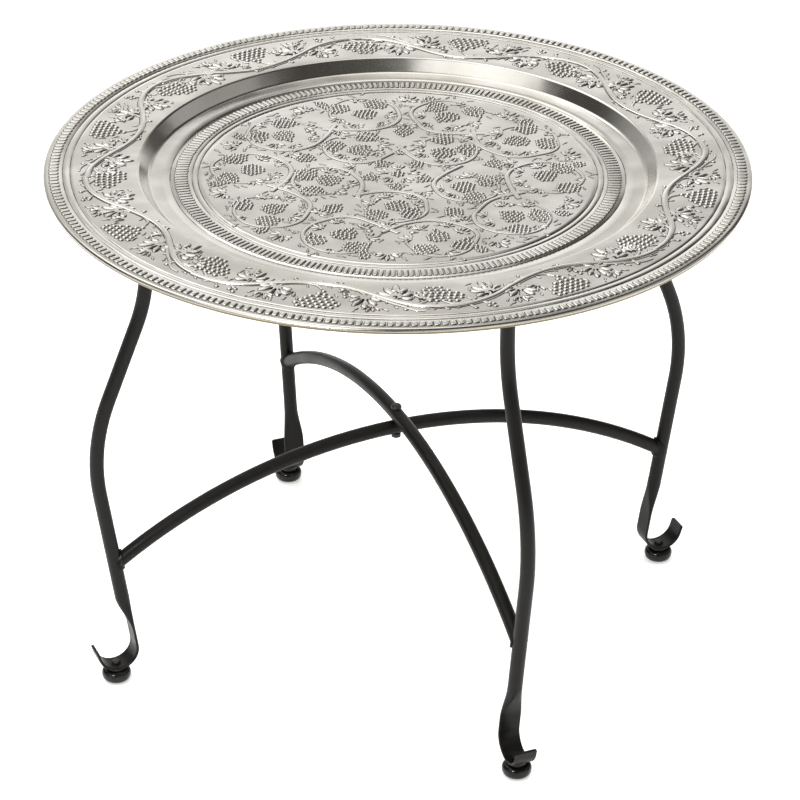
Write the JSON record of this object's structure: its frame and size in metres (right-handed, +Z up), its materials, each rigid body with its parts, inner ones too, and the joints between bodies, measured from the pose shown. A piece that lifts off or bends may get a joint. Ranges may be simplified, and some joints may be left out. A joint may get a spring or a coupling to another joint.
{
  "type": "tray table",
  "caption": "Low folding table: a round pressed metal tray resting loose on a stand of two crossed frames with curved tube legs, arched stretchers and bun feet.",
  "frame": {"origin": "on the floor, on the upright axis of the bolt that the two frames swivel on", "axes": "+Z up, the lower frame stands in the XZ plane and the upper frame in the YZ plane"},
  "size_m": [0.61, 0.61, 0.464],
  "materials": {
    "nickelled_brass": "polished",
    "iron_wire": "satin",
    "black_iron": "satin",
    "black_gloss": "gloss",
    "black_plastic": "matte",
    "black_steel": "satin"
  },
  "bodies": {
    "lower_frame": {"leg_right": "black_iron", "weld_right": "black_iron", "cap_right": "black_plastic", "foot_right": "black_gloss", "foot_screw_right": "black_steel", "leg_left": "black_iron", "weld_left": "black_iron", "cap_left": "black_plastic", "foot_left": "black_gloss", "foot_screw_left": "black_steel", "lower_arch": "black_iron", "pivot_bolt": "black_steel", "pivot_nut": "black_steel"},
    "upper_frame": {"leg_front": "black_iron", "weld_front": "black_iron", "cap_front": "black_plastic", "foot_front": "black_gloss", "foot_screw_front": "black_steel", "leg_back": "black_iron", "weld_back": "black_iron", "cap_back": "black_plastic", "foot_back": "black_gloss", "foot_screw_back": "black_steel", "upper_arch": "black_iron"},
    "tray_top": {"tray": "nickelled_brass", "rim_wire": "iron_wire"}
  },
  "joints": [
    {"name": "fold", "type": "hinge", "parent": "lower_frame", "child": "upper_frame", "pos_m": [0, 0, 0.207], "axis": [0, 0, 1], "range_deg": [-84, 84]},
    {"name": "tray_lift", "type": "slide", "parent": "lower_frame", "child": "tray_top", "axis": [0, 0, 1], "range_m": [0, 0.25]}
  ]
}
